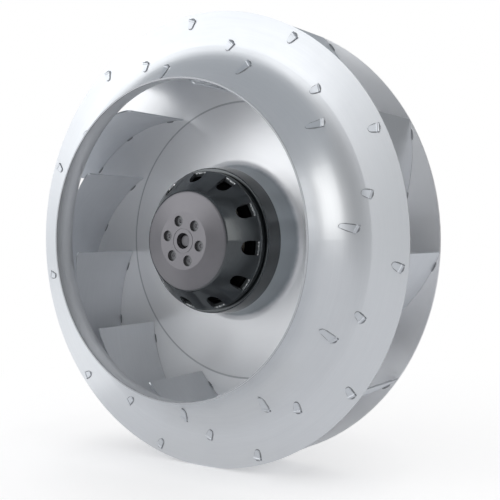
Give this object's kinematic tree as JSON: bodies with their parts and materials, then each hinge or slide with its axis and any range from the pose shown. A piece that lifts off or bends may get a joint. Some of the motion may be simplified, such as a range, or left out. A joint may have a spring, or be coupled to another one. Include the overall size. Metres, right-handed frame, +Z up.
{
  "type": "plug fan",
  "caption": "Backward-curved centrifugal fan wheel on an external-rotor motor, with a flared inlet shroud, a dished back plate and a rear flange to fasten it by.",
  "frame": {"origin": "centre of the motor flange's mounting face, on the axis of rotation", "axes": "+Y along the axis of rotation, from the inlet to the mounting side; the inlet faces -Y; +Z up"},
  "size_m": [0.45, 0.1616, 0.45],
  "materials": {
    "spun_aluminium": "satin, fine spun lines",
    "black_coating": "satin black coating",
    "bearing_steel": "ground",
    "electrical_steel": "stacked sheet",
    "cast_aluminium": "die cast",
    "copper_wire": "enamelled",
    "insulating_plastic": "moulded",
    "gland_plastic": "moulded",
    "seal_rubber": "matte"
  },
  "bodies": {
    "motor_stator": {"motor_flange": "cast_aluminium", "stator_core": "electrical_steel", "main_winding": "copper_wire", "auxiliary_winding": "copper_wire", "front_insulator": "insulating_plastic", "rear_insulator": "insulating_plastic", "thermal_cutout": "insulating_plastic", "preload_washer": "bearing_steel", "bearing_cap": "cast_aluminium", "gland_body": "gland_plastic", "gland_nut": "gland_plastic", "gland_seal": "seal_rubber", "front_bearing_outer_ring": "bearing_steel", "front_bearing_shields": "bearing_steel", "rear_bearing_outer_ring": "bearing_steel", "rear_bearing_shields": "bearing_steel"},
    "impeller": {"inlet_shroud": "spun_aluminium", "back_plate": "spun_aluminium", "blade_01": "spun_aluminium", "blade_02": "spun_aluminium", "blade_03": "spun_aluminium", "blade_04": "spun_aluminium", "blade_05": "spun_aluminium", "blade_06": "spun_aluminium", "blade_07": "spun_aluminium", "blade_08": "spun_aluminium", "blade_09": "spun_aluminium", "blade_10": "spun_aluminium", "blade_11": "spun_aluminium", "rotor_housing": "black_coating", "shaft": "bearing_steel", "rotor_core": "electrical_steel", "rotor_cage": "cast_aluminium", "shaft_circlip": "bearing_steel", "front_bearing_inner_ring": "bearing_steel", "rear_bearing_inner_ring": "bearing_steel"},
    "front_ball_train": {"front_bearing_balls": "bearing_steel", "front_bearing_cage": "bearing_steel"},
    "rear_ball_train": {"rear_bearing_balls": "bearing_steel", "rear_bearing_cage": "bearing_steel"}
  },
  "joints": [
    {"name": "impeller_spin", "type": "hinge", "parent": "motor_stator", "child": "impeller", "pos_m": [0, -0.1085, 0], "axis": [0, 1, 0], "continuous": true},
    {"name": "front_ball_spin", "type": "hinge", "parent": "motor_stator", "child": "front_ball_train", "pos_m": [0, -0.1085, 0], "axis": [0, 1, 0], "continuous": true},
    {"name": "rear_ball_spin", "type": "hinge", "parent": "motor_stator", "child": "rear_ball_train", "pos_m": [0, -0.02, 0], "axis": [0, 1, 0], "continuous": true}
  ],
  "couplings": [
    {"joint": "front_ball_spin", "follows": "impeller_spin", "ratio": 0.381},
    {"joint": "rear_ball_spin", "follows": "impeller_spin", "ratio": 0.381}
  ]
}
